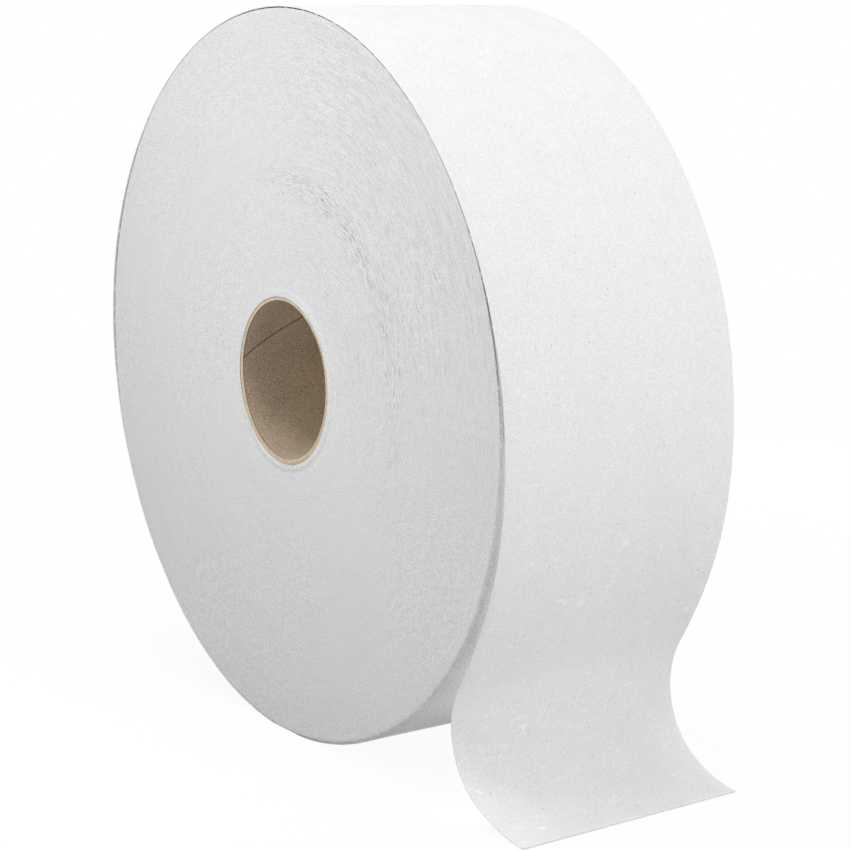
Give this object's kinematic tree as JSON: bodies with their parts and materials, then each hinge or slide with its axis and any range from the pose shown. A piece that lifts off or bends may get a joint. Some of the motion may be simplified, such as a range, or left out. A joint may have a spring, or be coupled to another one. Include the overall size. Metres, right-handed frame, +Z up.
{
  "type": "jumbo toilet paper roll",
  "caption": "Large roll of white bath tissue on a paperboard core, standing on its tread, with its free end curled out onto the floor.",
  "frame": {"origin": "centre of the core's bore, halfway along it", "axes": "+Y along the core, away from the end face that the picture shows; +Z up; +X towards the sheet's free end"},
  "size_m": [0.2603, 0.0908, 0.2489],
  "materials": {
    "tissue": "soft, matt, uncoated tissue",
    "core_board": "plain grey-brown board, uncoated"
  },
  "bodies": {
    "root": {"tissue_roll": "tissue", "core_tube": "core_board"}
  },
  "joints": []
}
